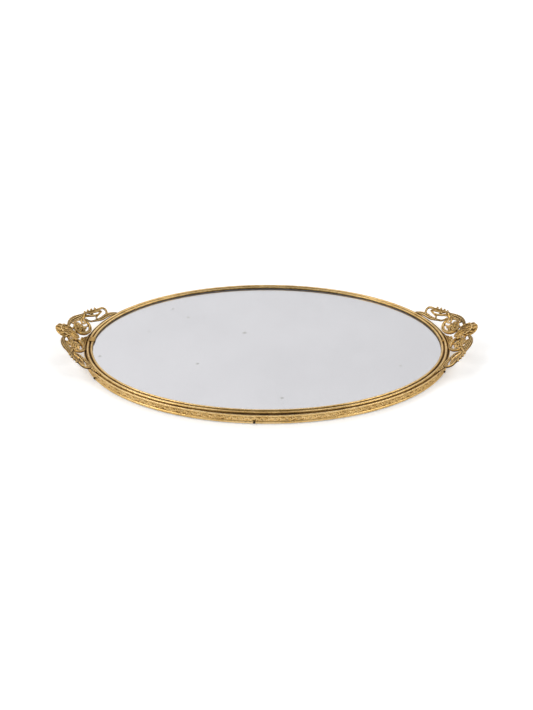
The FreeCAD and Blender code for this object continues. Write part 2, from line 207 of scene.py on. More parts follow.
class Block:
    """A block of signed distances that strokes are modelled into."""

    EMPTY = 4.0
    # Height that strands tend to, whatever their width.
    STRAND_RISE = 1.15
    GROOVE_WIDTH = 0.38
    # How far notches lean back from a strand's middle line.
    NOTCH_SLANT = 0.8

    def __init__(self, low, high, step, under=1.0):
        self.low = np.array(low, float)
        self.step = step
        # How many times deeper a strand is below its centre than above it.
        self.under = under
        counts = np.ceil((np.array(high) - self.low) / step).astype(int) + 1
        self.axes = [self.low[i] + step * np.arange(counts[i]) for i in range(3)]
        self.field = np.full(tuple(counts), self.EMPTY)

    def window(self, lows, highs):
        """Slices of the block that hold a box."""
        parts = []
        for axis, low, high in zip(self.axes, lows, highs):
            first = int(np.clip(np.searchsorted(axis, low) - 1, 0, len(axis)))
            last = int(np.clip(np.searchsorted(axis, high) + 1, 0, len(axis)))
            parts.append(slice(first, last))
        return tuple(parts)

    def join(self, part, value, blend):
        """Add a shape, with a fillet of about the blend where it meets the rest."""
        old = self.field[part]
        h = np.clip(0.5 + 0.5 * (old - value) / blend, 0, 1)
        self.field[part] = old * (1 - h) + value * h - blend * h * (1 - h)

    def stroke(self, points, lift=0.0, squash=None, blend=0.25, groove=0.0, ribs=0, rib_depth=0.0,
               notch=0.0, notch_pitch=2.0, swell=0.0):
        """A tapering rounded strand through rows of (x, y, radius) or (x, y, radius, lift).

        A groove or ribs run along its face, and notches cross it."""
        rows = [(p[0], p[1], p[2] + swell, lift + (p[3] if len(p) > 3 else 0)) for p in points]
        run = smooth_run(rows)
        reach = run[:, 2].max() + 1.2
        lows, highs = run[:, :2].min(0) - reach, run[:, :2].max(0) + reach
        part = self.window((*lows, -99), (*highs, 99))
        gx = self.axes[0][part[0]][:, None, None]
        gy = self.axes[1][part[1]][None, :, None]
        away = np.hypot(gx - run[:, 0], gy - run[:, 1])
        nearest = np.argmin(away - run[:, 2], axis=2)
        dist = np.take_along_axis(away, nearest[..., None], 2)
        radius = run[nearest, 2][..., None]
        centre = run[nearest, 3][..., None]
        flow = np.gradient(run[:, :2], axis=0)
        flow /= np.maximum(np.linalg.norm(flow, axis=1), 1e-6)[:, None]
        length = np.concatenate([[0], np.cumsum(np.hypot(*np.diff(run[:, :2], axis=0).T))])
        side = ((gy[..., 0] - run[nearest, 1]) * flow[nearest, 0]
                - (gx[..., 0] - run[nearest, 0]) * flow[nearest, 1])[..., None]
        n = self.axes[2][None, None, :]
        flat = squash if squash else np.clip(self.STRAND_RISE / radius, 0.5, 1.2)
        rise = n - centre
        rise = np.where(rise < 0, rise / self.under, rise)
        value = (np.sqrt(dist ** 2 + (rise / flat) ** 2) - radius) * np.minimum(flat, 1)
        face = np.clip((n - centre) / 0.5 + 0.3, 0, 1)
        if groove:
            value = value + face * groove * np.exp(-(side / self.GROOVE_WIDTH) ** 2)
        if ribs:
            wave = 0.5 - 0.5 * np.cos(2 * math.pi * ribs * side / radius)
            value = value + face * rib_depth * wave
        if notch:
            slant = length[nearest][..., None] + self.NOTCH_SLANT * np.abs(side)
            wave = 0.5 - 0.5 * np.cos(2 * math.pi * slant / notch_pitch)
            value = value + face * notch * wave ** 2
        self.join(part, value, blend)

    def lens(self, centre, radii, blend=0.3):
        """An ellipsoid on the block's axes."""
        margin = max(radii) + 1
        part = self.window([c - margin for c in centre], [c + margin for c in centre])
        gx = self.axes[0][part[0]][:, None, None] - centre[0]
        gy = self.axes[1][part[1]][None, :, None] - centre[1]
        gz = self.axes[2][part[2]][None, None, :] - centre[2]
        out = np.sqrt((gx / radii[0]) ** 2 + (gy / radii[1]) ** 2 + (gz / radii[2]) ** 2)
        self.join(part, (out - 1) * min(radii), blend)

    def trim_below(self, n):
        """Flat back at a height."""
        self.field = np.maximum(self.field, n - self.axes[2][None, None, :])

    def mesh(self, rounds=4):
        """Smoothed points and quads of the modelled surface."""
        points, quads = surface_net(self.field, self.low, self.step)
        return relax(points, quads, rounds), quads


# ---------- the handles

def rim_distance(x, y):
    """How far plan points lie outside the outer bead, and the way outward."""
    long_half, short_half = HALF_LONG + BEAD_OUT, HALF_SHORT + BEAD_OUT
    d = np.hypot(x / long_half, y / short_half) * long_half - long_half
    for _ in range(12):
        a, b = long_half + d, short_half + d
        miss = (x / a) ** 2 + (y / b) ** 2 - 1
        d = d + miss / (2 * x ** 2 / a ** 3 + 2 * y ** 2 / b ** 3)
    ux, uy = x / (long_half + d) ** 2, y / (short_half + d) ** 2
    size = np.hypot(ux, uy)
    return d, ux / size, uy / size


def on_sheet(points):
    """Plan and lift to the flared face of the handle."""
    x, y, n = points[:, 0], points[:, 1], points[:, 2]
    d, ux, uy = rim_distance(x, y)
    rise = n - FACE_N
    return np.stack([x - SHEET_SIN * rise * ux, y - SHEET_SIN * rise * uy,
                     FACE_AT_RIM + SLOPE * d + SHEET_COS * rise], 1)


def lower_leaf(block):
    """Leaf that lies along the rim, from its tip to the stem."""
    block.stroke([(165.2, 61.6, 0.4, -0.5), (167.6, 59.8, 1.1, -0.2), (170.7, 57.4, 1.7),
                  (173.5, 54.5, 2.15), (176.0, 51.5, 2.3), (178.1, 47.8, 2.2), (180.2, 44.4, 2.0),
                  (182.6, 41.5, 1.7), (185.0, 38.9, 1.25), (187.3, 36.4, 1.0), (189.4, 34.4, 0.9),
                  (191.8, 33.9, 0.85), (194.3, 33.8, 0.95), (196.4, 32.6, 1.15)],
                 lift=0.1, groove=0.65, notch=0.3, notch_pitch=2.8)


def loop(block):
    """Open loop with a serrated upper edge."""
    block.stroke([(197.5, 36.2, 1.3), (196.9, 39.2, 1.1), (195.9, 42.1, 1.0), (194.1, 44.9, 1.0),
                  (191.9, 47.5, 1.05), (189.6, 50.0, 1.1), (187.1, 52.6, 1.1), (184.7, 55.3, 1.1),
                  (182.6, 57.8, 1.1), (180.4, 59.4, 1.05), (178.2, 58.9, 1.05), (176.8, 57.2, 1.1),
                  (176.1, 54.9, 1.25)], lift=0.35, groove=0.25, swell=0.08)
    for x, y in ((196.2, 41.4), (193.7, 45.3), (190.7, 48.9), (187.5, 52.4)):
        block.stroke([(x - 0.2, y - 0.9, 1.1), (x + 0.8, y + 0.9, 1.25), (x + 1.2, y + 2.7, 0.6)],
                     lift=0.55, groove=0.4, blend=0.1)


def fronds(block):
    """Thin strands inside the loop."""
    block.stroke([(181.0, 54.5, 0.5), (182.0, 53.1, 1.0), (183.0, 50.5, 1.0), (184.0, 47.6, 0.9),
                  (184.8, 45.1, 0.9), (185.3, 43.1, 0.8), (184.6, 41.4, 0.7)], lift=0.2, groove=0.2)
    block.stroke([(181.7, 54.2, 0.7), (184.0, 53.1, 1.0), (186.5, 50.9, 1.15), (189.0, 48.4, 1.25),
                  (190.7, 45.9, 1.15), (191.8, 44.4, 0.9)], lift=0.5, groove=0.25)
    block.stroke([(184.1, 48.0, 0.7), (185.7, 45.9, 0.9), (187.6, 43.8, 1.0), (190.1, 41.8, 1.0),
                  (192.6, 40.2, 1.1), (194.9, 38.3, 1.25), (196.6, 35.8, 1.25)], lift=0.6, groove=0.2)
    block.stroke([(187.2, 44.6, 0.65), (189.5, 44.8, 0.7), (192.2, 44.6, 0.75), (194.1, 43.8, 0.85)],
                 lift=0.1)


def acanthus(block):
    """Ribbed leaf over the ring's shoulder, with two smaller ones under it."""
    block.stroke([(207.8, 4.2, 1.05), (208.1, 7.4, 1.1), (208.4, 11.6, 1.3), (208.5, 15.8, 1.55),
                  (208.0, 20.0, 1.9), (206.6, 24.2, 2.35), (204.4, 28.4, 2.65), (202.0, 32.2, 2.5),
                  (199.9, 35.4, 2.0), (198.5, 38.1, 1.25), (198.2, 40.5, 0.3)],
                 lift=0.3, ribs=1.5, rib_depth=0.5, notch=0.28, notch_pitch=2.4, swell=0.22)
    block.stroke([(204.4, 21.7, 0.85), (203.2, 24.8, 1.4), (201.3, 28.0, 1.6), (199.6, 31.2, 1.6),
                  (198.1, 34.3, 1.45), (196.8, 37.1, 1.15)],
                 lift=0.6, groove=0.5, notch=0.25, notch_pitch=2.2)
    block.stroke([(197.3, 29.5, 1.15), (197.5, 32.2, 1.35), (197.2, 35.2, 1.25), (197.3, 38.3, 1.1)],
                 lift=0.7)


def ring(block):
    """C-scroll ring and its inner curl."""
    block.stroke([(199.6, 8.3, 1.2), (197.0, 7.5, 1.45), (194.0, 8.7, 1.55), (191.4, 11.8, 1.6),
                  (189.6, 15.6, 1.55), (188.8, 19.6, 1.5), (189.2, 23.4, 1.4), (190.5, 26.7, 1.35),
                  (192.9, 29.4, 1.25), (195.8, 30.1, 1.2), (197.9, 29.1, 1.05)],
                 lift=1.0, squash=1.0, groove=0.45, swell=0.1)
    block.stroke([(197.0, 7.5, 1.25), (199.9, 8.4, 1.25), (201.9, 11.2, 1.2), (203.0, 14.5, 1.15),
                  (203.0, 17.9, 1.1), (202.0, 20.6, 1.0), (200.0, 21.7, 0.9)],
                 lift=0.8, squash=1.0, groove=0.3, swell=0.18)
    block.stroke([(198.5, 31.1, 1.05, -0.3), (198.9, 28.2, 1.0, 0), (198.2, 25.7, 0.95, 0.3),
                  (196.5, 24.4, 0.9, 0.5), (194.9, 25.2, 0.85, 0.6), (194.6, 26.7, 0.8, 0.7),
                  (195.7, 27.8, 0.75, 0.8)], lift=0.8, squash=1.0)
    block.stroke([(191.2, 26.3, 0.8), (192.2, 23.6, 0.8), (193.6, 21.3, 0.85), (195.2, 19.2, 0.95)],
                 lift=0.3)


def ties(block):
    """Short ties from the ring and the leaf to the bud."""
    block.stroke([(200.6, 9.5, 1.0), (201.4, 6.9, 1.0), (201.3, 4.6, 1.05), (200.9, 2.5, 1.2)], lift=0.2)
    block.stroke([(204.2, 10.5, 0.9), (205.3, 8.4, 0.85), (205.5, 5.9, 0.85), (204.8, 3.4, 0.95)],
                 lift=0.1)
    block.stroke([(204.2, 10.5, 0.9), (203.2, 12.5, 1.0), (203.0, 15.5, 1.0)], lift=0.3)
    block.stroke([(203.6, 19.5, 0.8), (205.4, 18.6, 0.8), (207.0, 19.0, 0.8)], lift=0.2)


def scroll_block():
    """Openwork of one quarter of the handles, in plan, with n off its face."""
    block = Block((162.5, 0, -2.9), (213, 65, 3.6), CASTING_STEP, under=1.5)
    # Web that carries the rosette.
    block.lens((197.6, 17.0, -0.5), (5.0, 5.4, 0.8), 0.3)
    for part in (lower_leaf, loop, fronds, acanthus, ring, ties):
        part(block)
    block.trim_below(-2.3)
    return block


def rosette_block():
    """Six-petalled flower seated in the ring."""
    x, y = 197.4, 16.9
    block = Block((190.5, 10, -1.6), (204.5, 24, 3.8), 0.22)
    block.lens((x, y, 0.2), (4.8, 5.2, 1.2), 0.3)
    for petal in range(6):
        turn = math.radians(60 * petal + 20)
        c, s = math.cos(turn), math.sin(turn)
        # Each petal curls a little to one side.
        block.stroke([(x + 1.0 * c, y + 1.0 * s, 0.6, 1.4),
                      (x + 2.7 * c - 0.3 * s, y + 2.9 * s + 0.3 * c, 1.45, 1.3),
                      (x + 4.4 * c - 0.9 * s, y + 4.8 * s + 0.9 * c, 1.5, 0.7),
                      (x + 5.1 * c - 1.6 * s, y + 5.6 * s + 1.6 * c, 0.8, 0.3)],
                     squash=0.7, blend=0.1, groove=0.55)
    block.lens((x, y, 1.7), (1.35, 1.35, 1.1), 0.12)
    for bead in range(5):
        turn = math.radians(72 * bead)
        block.lens((x + 1.5 * math.cos(turn), y + 1.5 * math.sin(turn), 1.75), (0.55, 0.55, 0.5), 0.08)
    block.trim_below(-0.9)
    return block


# The bud lies on its own slope: s along it, w across and n off its face.
BUD_FOOT_X = 195.3
SHELL_MIDDLE = 17.2
SHELL_RADII = (10.2, 10.5, 2.9)
SHELL_HUB = 7.5


def shell_reach(angle):
    """Distance from the hub to the shell's outline in a direction."""
    c, s = math.cos(angle), math.sin(angle)
    along = (SHELL_HUB - SHELL_MIDDLE) / SHELL_RADII[0]
    a = (c / SHELL_RADII[0]) ** 2 + (s / SHELL_RADII[1]) ** 2
    b = 2 * along * c / SHELL_RADII[0]
    return (-b + math.sqrt(b * b - 4 * a * (along * along - 1))) / (2 * a)


def shell_face(s, w):
    """Height of the shell's domed face over a point of its slope."""
    inside = 1 - ((s - SHELL_MIDDLE) / SHELL_RADII[0]) ** 2 - (w / SHELL_RADII[1]) ** 2
    return SHELL_RADII[2] * math.sqrt(max(inside, 0))


def on_shell(angle, distance):
    """Place at a direction and distance from the shell's hub."""
    return SHELL_HUB + distance * math.cos(angle), distance * math.sin(angle)


def shell(block, petals=9, spread=70):
    """Domed cap with petals that fan out from its hub."""
    block.lens((SHELL_MIDDLE, 0, 0.0), SHELL_RADII, 0.5)
    for number in range(petals):
        angle = math.radians(-spread + 2 * spread * number / (petals - 1))
        reach = shell_reach(angle)
        rows = []
        # The last point stands back so that the petal's round end is on the outline.
        for share, back, radius in ((0.34, 0, 0.55), (0.55, 0, 0.95), (0.75, 0, 1.25), (0.9, 0, 1.35),
                                    (1.0, 0.75, 1.2)):
            s, w = on_shell(angle, reach * share - back)
            rows.append((s, w, radius, shell_face(s, w) - 0.35))
        block.stroke(rows, squash=0.85, blend=0.1, groove=0.22)


def turned_lip(block, spread=62):
    """Wavy lip that crosses the shell near its outer end."""
    lip = []
    for step in np.linspace(-1, 1, 17):
        angle = math.radians(spread * step)
        s, w = on_shell(angle, shell_reach(angle) * (0.74 + 0.02 * math.cos(7 * math.pi * step)))
        lip.append((s, w, 0.62, shell_face(s, w) + 0.75))
    block.stroke(lip, squash=1.0, blend=0.25)


def tongue(block):
    """Broad rounded foot with lengthwise ribs and turned edges, and a lobe at each side."""
    block.stroke([(2.4, 0, 2.1, 0.1), (4.2, 0, 3.3, 0.3), (7.0, 0, 4.0, 0.5), (10.0, 0, 4.3, 0.7),
                  (13.0, 0, 3.8, 0.8)], squash=0.55, ribs=1.5, rib_depth=0.4)
    for side in (-1, 1):
        block.stroke([(2.2, 1.2 * side, 0.7, 0.6), (5.0, 2.9 * side, 0.95, 0.9),
                      (9.0, 3.9 * side, 0.95, 1.2), (12.5, 3.5 * side, 0.9, 1.9),
                      (15.5, 1.9 * side, 0.7, 2.5)],
                     squash=0.9, blend=0.15)
        block.stroke([(9.5, 4.4 * side, 0.9, 0.4), (11.5, 7.0 * side, 1.1, 0.4),
                      (14.0, 9.0 * side, 1.1, 0.4), (16.5, 9.9 * side, 0.9, 0.2)],
                     squash=0.8, blend=0.15)


def bud_block():
    """Scalloped shell on a tongue-shaped foot."""
    block = Block((-1, -13, -2.8), (30, 13, 5.4), CASTING_STEP)
    shell(block)
    turned_lip(block)
    tongue(block)
    # Knob where the tongue ends on the shell.
    block.lens((17.2, 0, 2.9), (1.8, 1.3, 0.9), 0.2)
    block.trim_below(-1.9)
    return block


def on_bud(points):
    """Bud's own axes to the tray's frame."""
    s, w, n = points[:, 0], points[:, 1], points[:, 2]
    foot_z = FACE_AT_RIM + SLOPE * (BUD_FOOT_X - HALF_LONG - BEAD_OUT)
    rise = n - FACE_N
    return np.stack([BUD_FOOT_X + SHEET_COS * s - SHEET_SIN * rise, w,
                     foot_z + SHEET_SIN * s + SHEET_COS * rise], 1)


def clasp_block():
    """Leafy bracket outside the outer bead, in the tray's frame."""
    block = Block((185.5, -17, 7.8), (197.5, 17, 16.5), CASTING_STEP)
    for side in (-1, 1):
        arm = []
        for share in np.linspace(0, 1, 9):
            y = 15.0 * share
            out = BEAD_OUT + 1.5
            x = (HALF_LONG + out) * math.sqrt(1 - (y / (HALF_SHORT + out)) ** 2)
            radius = 1.45 - 0.95 * share ** 1.3
            arm.append((x + 0.3 * (1 - share), y * side, radius, 10.9 + 0.5 * (1 - share)))
        block.stroke(arm, squash=0.9, notch=0.25, notch_pitch=2.6)
        # Side leaf that turns back along the rim.
        block.stroke([(191.0, side, 1.0, 11.6), (192.2, 3.4 * side, 1.35, 12.2),
                      (191.9, 6.2 * side, 1.25, 12.0), (190.7, 8.6 * side, 0.8, 11.4)],
                     squash=0.85, blend=0.15, groove=0.35)
        block.stroke([(190.6, side, 1.0, 11.8), (193.0, 2.0 * side, 1.3, 12.9),
                      (194.6, 3.4 * side, 1.0, 13.6)], squash=0.85, blend=0.15, groove=0.3)
    block.stroke([(190.2, 0, 1.1, 11.6), (192.4, 0, 1.6, 12.8), (194.6, 0, 1.25, 13.9)],
                 squash=0.85, blend=0.15, groove=0.35)
    block.trim_below(9.0)
    return block


def four_ways(points, quads, place):
    """The four mirrored copies of a quarter piece."""
    body = place(points)
    for end, sx in (("right", 1), ("left", -1)):
        for side, sy in (("rear", 1), ("front", -1)):
            faces = quads if sx * sy > 0 else quads[:, ::-1]
            yield end, side, body * (sx, sy, 1), faces


def strand_sides(points, quads):
    """From 0 on the faces and backs of strands to 1 low on their sides."""
    low = np.clip((0.6 - points[:, 2]) / 1.2, 0, 1)
    upright = np.clip((normals(points, quads)[:, 2] + 0.85) / 0.4, 0, 1)
    return low * upright


def build_handles(gilt):
    """Both handles: four scrolls and rosettes from one quarter, and a bud and clasp at each end."""
    for kind, block in (("scroll", scroll_block()), ("rosette", rosette_block())):
        points, quads = block.mesh()
        # Patina in the casting's deep places, and painted shade low on the sides of its strands.
        patina_and_painted_light = 1.5 * hollows(points, quads) + 2.6 * strand_sides(points, quads)
        for end, side, body, faces in four_ways(points, quads, on_sheet):
            name = "handle_%s_%s_%s" % (end, kind, side)
            add_piece(name + "_cast", body, faces, gilt, [name], patina_and_painted_light=patina_and_painted_light)
    for kind, block, place in (("bud", bud_block(), on_bud), ("clasp", clasp_block(), np.asarray)):
        points, quads = block.mesh()
        patina_and_painted_light = hollows(points, quads, 8)
        body = place(points)
        for end, sx in (("right", 1), ("left", -1)):
            faces = quads if sx > 0 else quads[:, ::-1]
            name = "handle_%s_%s" % (end, kind)
            add_piece(name + "_cast", body * (sx, 1, 1), faces, gilt, [name], patina_and_painted_light=patina_and_painted_light)


# ---------- the rim

# Repeats of the frieze along half the rim, and about the length of one.
REPEATS = 23
COLUMNS_PER_REPEAT = 60
PITCH = 22.3
# The frieze's relief, from below the ground of the band outward.
RELIEF_FOOT = -0.25
RELIEF_RISE = 0.75
BEZEL_COLUMNS = 560


def rear_angles(columns):
    """Ellipse angles at even steps of length along the rear half of the rim."""
    fine = np.linspace(0, math.pi, 20001)
    a, b = HALF_LONG + GROUND, HALF_SHORT + GROUND
    speed = np.hypot(a * np.sin(fine), b * np.cos(fine))
    length = np.concatenate([[0], np.cumsum((speed[1:] + speed[:-1]) / 2 * np.diff(fine))])
    return np.interp(np.linspace(0, length[-1], columns + 1), length, fine)


def rim_solid(angles, sections):
    """Half ring whose closed section may change from column to column."""
    columns, ring = sections.shape[0], sections.shape[1]
    m, z = sections[..., 0], sections[..., 1]
    cos, sin = np.cos(angles)[:, None], np.sin(angles)[:, None]
    points = np.stack([(HALF_LONG + m) * cos, (HALF_SHORT + m) * sin, z], 2).reshape(-1, 3)
    i, j = np.meshgrid(np.arange(columns - 1), np.arange(ring), indexing="ij")
    here, there, k = i * ring, (i + 1) * ring, (j + 1) % ring
    faces = np.stack([here + j, here + k, there + k, there + j], -1).reshape(-1, 4)
    caps = [list(range(ring))[::-1], list(range((columns - 1) * ring, columns * ring))]
    return points, [list(f) for f in faces] + caps


def frieze_height(across, up):
    """Relief of one repeat, 0 to 1: a waving stem with curls, leaves and flowers."""
    block = Block((-3, -3.2, -1.2), (PITCH + 3, 3.2, 1.4), 0.16)
    for shift in (-PITCH, 0, PITCH):
        stem = []
        for t in np.linspace(0, 1, 17):
            stem.append((shift + PITCH * t, 1.5 * math.sin(2 * math.pi * t), 0.42))
        block.stroke(stem, squash=1.3, blend=0.1)
        for side, middle in ((1, PITCH * 0.25), (-1, PITCH * 0.75)):
            curl = []
            for t in np.linspace(0, 1, 16):
                turn = math.pi * (-0.1 + 2.0 * t)
                radius = 2.1 * (1 - 0.45 * t)
                curl.append((shift + middle + 1.25 * radius * math.cos(turn),
                             side * (radius * math.sin(turn) - 0.5), 0.42 - 0.1 * t))
            block.stroke(curl, squash=1.3, blend=0.08)
            block.lens((shift + middle, -side * 0.5, 0.1), (0.75, 0.65, 0.7), 0.05)
            for petal in range(5):
                turn = 2 * math.pi * petal / 5 + 0.3
                x0 = shift + middle + 0.95 * math.cos(turn)
                y0 = -side * 0.5 + 0.8 * math.sin(turn)
                block.lens((x0, y0, 0.1), (0.42, 0.38, 0.5), 0.04)
            # Slanting leaves between one curl and the next.
            for step in (-5.7, -3.9, 3.3, 5.1):
                x0 = shift + middle + step
                y0 = side * 1.5 * math.cos(2 * math.pi * step / PITCH)
                for lean in (-1, 1):
                    block.stroke([(x0, y0, 0.3), (x0 + 0.5, y0 + 0.9 * lean, 0.46),
                                  (x0 + 1.3, y0 + 1.9 * lean, 0.25)],
                                 squash=1.2, blend=0.06)
    # The height of the relief is where each column of the block turns solid.
    solid = block.field < 0
    levels = block.axes[2]
    top = np.where(solid.any(2), levels[solid.shape[2] - 1 - np.argmax(solid[:, :, ::-1], 2)], 0)
    for _ in range(2):
        beside = top[:-2, 1:-1] + top[2:, 1:-1] + top[1:-1, :-2] + top[1:-1, 2:]
        top[1:-1, 1:-1] = (top[1:-1, 1:-1] * 4 + beside) / 8
    top = np.clip(top / 0.55, 0, 1)
    fx = (across - block.axes[0][0]) / block.step
    fy = (up - block.axes[1][0]) / block.step
    ix = np.clip(fx.astype(int), 0, top.shape[0] - 2)
    iy = np.clip(fy.astype(int), 0, top.shape[1] - 2)
    tx, ty = fx - ix, fy - iy
    return (top[ix, iy] * (1 - tx) * (1 - ty) + top[ix + 1, iy] * tx * (1 - ty)
            + top[ix, iy + 1] * (1 - tx) * ty + top[ix + 1, iy + 1] * tx * ty)


def band_sections():
    """Section of the band at every column, and the patina, painted shade and painted highlight at each of
    its points.
    """
    per = COLUMNS_PER_REPEAT
    columns = REPEATS * per + 1
    foot = [(SHEET_OUT + 0.3, BAND_BOTTOM), (BORDER_OUT - 0.25, BAND_BOTTOM + 0.02),
            (BORDER_OUT - 0.06, 0.95), (BORDER_OUT, 1.25), (BORDER_OUT, 1.7), (BORDER_OUT - 0.03, 2.2),
            (BORDER_OUT - 0.12, 2.6), (BORDER_OUT - 0.3, 2.85)]
    rows = np.linspace(3.0, 8.3, 21)
    head = [(BORDER_OUT - 0.3, 8.45), (BORDER_OUT - 0.06, 8.65), (BORDER_OUT, 8.95), (BORDER_OUT, 9.45),
            (BORDER_OUT - 0.1, 9.8), (BORDER_OUT - 0.35, BAND_TOP), (SHEET_OUT + 0.25, BAND_TOP),
            (SHEET_OUT + 0.05, BAND_TOP - 0.15), (SHEET_OUT, 9.4), (SHEET_OUT, 5.5),
            (SHEET_OUT, BAND_BOTTOM)]
    across = (np.arange(per) / per * PITCH)[:, None]
    relief = frieze_height(across + 0 * rows, (rows - rows.mean())[None, :] + 0 * across)
    fade = np.clip(np.minimum(rows - rows[0], rows[-1] - rows) / 0.3, 0, 1)
    relief = np.clip(relief * fade, 0, 1)
    repeat = np.empty((per, len(foot) + len(rows) + len(head), 2))
    band_patina_and_painted_light = np.zeros(repeat.shape[:2])
    field = slice(len(foot), len(foot) + len(rows))
    repeat[:, :len(foot)] = foot
    repeat[:, field, 0] = GROUND + RELIEF_FOOT + RELIEF_RISE * relief
    repeat[:, field, 1] = rows
    repeat[:, len(foot) + len(rows):] = head
    band_patina_and_painted_light[:, :len(foot)] = -0.5
    # The frieze's ground takes brown patina and the tops of its relief a painted highlight, both fading
    # toward its edges.
    inner = np.clip(np.minimum(rows - rows[0], rows[-1] - rows) / 0.9, 0, 1)
    band_patina_and_painted_light[:, field] = (1.3 - 3.0 * relief) * (0.2 + 0.8 * inner)
    # The top border gets a painted highlight, brightest on its upper edge; the hidden back gets painted
    # shade.
    above, edge, back = len(foot) + len(rows), 4, 4
    band_patina_and_painted_light[:, above:] = -0.6
    band_patina_and_painted_light[:, above + edge:-back] = -1.3
    band_patina_and_painted_light[:, -back:] = 1.6
    whole = np.concatenate([repeat] * REPEATS + [repeat[:1]])[:columns]
    band_patina_and_painted_light = np.concatenate([band_patina_and_painted_light] * REPEATS + [band_patina_and_painted_light[:1]])[:columns]
    # Lighter at the middle of the long sides.
    lighter_middle = np.exp(-(np.linspace(-1, 1, columns) / 0.25) ** 2)
    return whole, (band_patina_and_painted_light - 0.4 * lighter_middle[:, None]).ravel()


def bead(middle, half_width, base, rise, shares):
    """Points over a round bead, at shares of its half turn."""
    turns = math.pi * shares
    return list(zip(middle - half_width * np.cos(turns), base + rise * np.sin(turns)))


def bezel_section():
    """Closed section of the double-beaded frame and the sunk ledge outside it."""
    profile = [(0.0, GLASS_TOP + 0.02), (0.0, GLASS_TOP + 0.35)]
    profile += bead(1.25, 1.2, 10.35, 0.95, np.linspace(0.1, 0.95, 10))
    profile += [(2.62, 10.2), (2.95, 10.06), (3.25, 10.06), (3.6, 10.2)]
    profile += bead(5.22, 1.4, 10.3, 1.0, np.linspace(0.05, 0.95, 11))
    profile += [(6.72, 10.2), (6.85, 9.9), (7.0, 9.6), (7.35, 9.42), (SHEET_OUT, 9.4), (SHEET_OUT, 8.7),
                (5.7, 8.7), (5.7, GLASS_TOP + 0.02)]
    return np.array(profile)


def both_halves(name, angles, sections, material, nodes, patina_and_painted_light):
    """Rear half ring and its mirror image in front."""
    points, faces = rim_solid(angles, sections)
    add_piece(name % "rear", points, [f[::-1] for f in faces], material, [nodes % "rear"], patina_and_painted_light=patina_and_painted_light)
    add_piece(name % "front", points * (1, -1, 1), faces, material, [nodes % "front"], patina_and_painted_light=patina_and_painted_light)


def build_rim(band_gilt, bezel_gilt):
    """The embossed band and the beaded bezel, each as two half rings."""
    angles = rear_angles(REPEATS * COLUMNS_PER_REPEAT)
    sections, band_patina_and_painted_light = band_sections()
    both_halves("band_%s_embossed", angles, sections, band_gilt, "band_%s", band_patina_and_painted_light)
    angles = rear_angles(BEZEL_COLUMNS)
    profile = bezel_section()
    section = np.repeat(profile[None], len(angles), 0)
    # Hand-worked rim: the beads wander by a few hundredths.
    wander = 0.05 * np.sin(angles * 37 + 1) + 0.035 * np.sin(angles * 83 + 2)
    crown = np.clip(section[..., 1] - 10.4, 0, 1)
    section[..., 1] += wander[:, None] * crown * 0.8
    # Patina and painted shade low in the groove and the ledge; the bead crests get painted highlights.
    m, z = profile[:, 0], profile[:, 1]
    depth = np.clip((10.8 - z) * 3.0, -1.5, 1.8)
    depth = np.tile(np.where(m < 0.1, -0.2, depth), (len(angles), 1))
    # At the middle of the long sides the ledge and the outer bead's flank get more painted shade,
    # standing in for the dark room they reflect, and the groove between the beads is painted lighter.
    middle = np.exp(-(HALF_LONG * np.cos(angles) / 50) ** 2)[:, None]
    ledge = (m > 6.6) & (z < 10.3)
    depth[:, ledge] = 1.15 + 0.55 * middle
    groove = (m > 2.3) & (m < 4.0)
    depth[:, groove] -= 1.3 * middle
    flank = (m > 5.0) & (m < 6.7)
    depth[:, flank] += 1.1 * middle
    both_halves("bezel_%s_beaded", angles, section, bezel_gilt, "bezel_%s", depth.ravel())


# Height of the nails over the tray's foot, and their places round the oval.
NAIL_HEIGHT = 2.3
NAIL_ANGLES = (25.0, 94.0, 155.0, 205.4, 265.9, 339.2)
NAIL_LENGTH = 9.0


def build_nails(material):
    """Small dome-headed nails, each turned about the direction it was driven in."""
    # Radius and distance out from the band: point, shank, underside of the head, dome.
    profile = [(0.0, -NAIL_LENGTH), (0.3, -NAIL_LENGTH + 0.9), (0.55, -NAIL_LENGTH + 1.8), (0.55, -1.0),
               (0.55, 0.02), (1.15, 0.02), (1.27, 0.2), (1.25, 0.5), (1.08, 0.78), (0.75, 0.98),
               (0.4, 1.06), (0.0, 1.08)]
    sides = 24
    points, faces = [], []
    for number, angle in enumerate(NAIL_ANGLES):
        turn = math.radians(angle)
        a, b = HALF_LONG + BORDER_OUT, HALF_SHORT + BORDER_OUT
        normal = Vector((math.cos(turn) / a, math.sin(turn) / b, 0)).normalized()
        side = Vector((-normal.y, normal.x, 0))
        foot = Vector((a * math.cos(turn), b * math.sin(turn), NAIL_HEIGHT))
        start = len(points)
        for row, (radius, out) in enumerate(profile):
            for k in range(sides if 0 < row < len(profile) - 1 else 1):
                spin = 2 * math.pi * k / sides
                # Hammered heads aren't quite round.
                dent = 0.05 * math.sin(2 * spin + 1.7 * number) + 0.03 * math.sin(3 * spin + number)
                r = radius * (1 + dent)
                ring = side * (r * math.cos(spin)) + Vector((0, 0, r * math.sin(spin)))
                points.append(foot + normal * out + ring)
        last = len(points) - 1
        for k in range(sides):
            n = (k + 1) % sides
            faces.append([start, start + 1 + n, start + 1 + k])
            for row in range(len(profile) - 3):
                low = start + 1 + row * sides
                faces.append([low + k, low + n, low + sides + n, low + sides + k])
            low = start + 1 + (len(profile) - 3) * sides
            faces.append([low + k, low + n, last])
    add_piece("nails_hammered", [tuple(p) for p in points], faces, material, ["nails"])


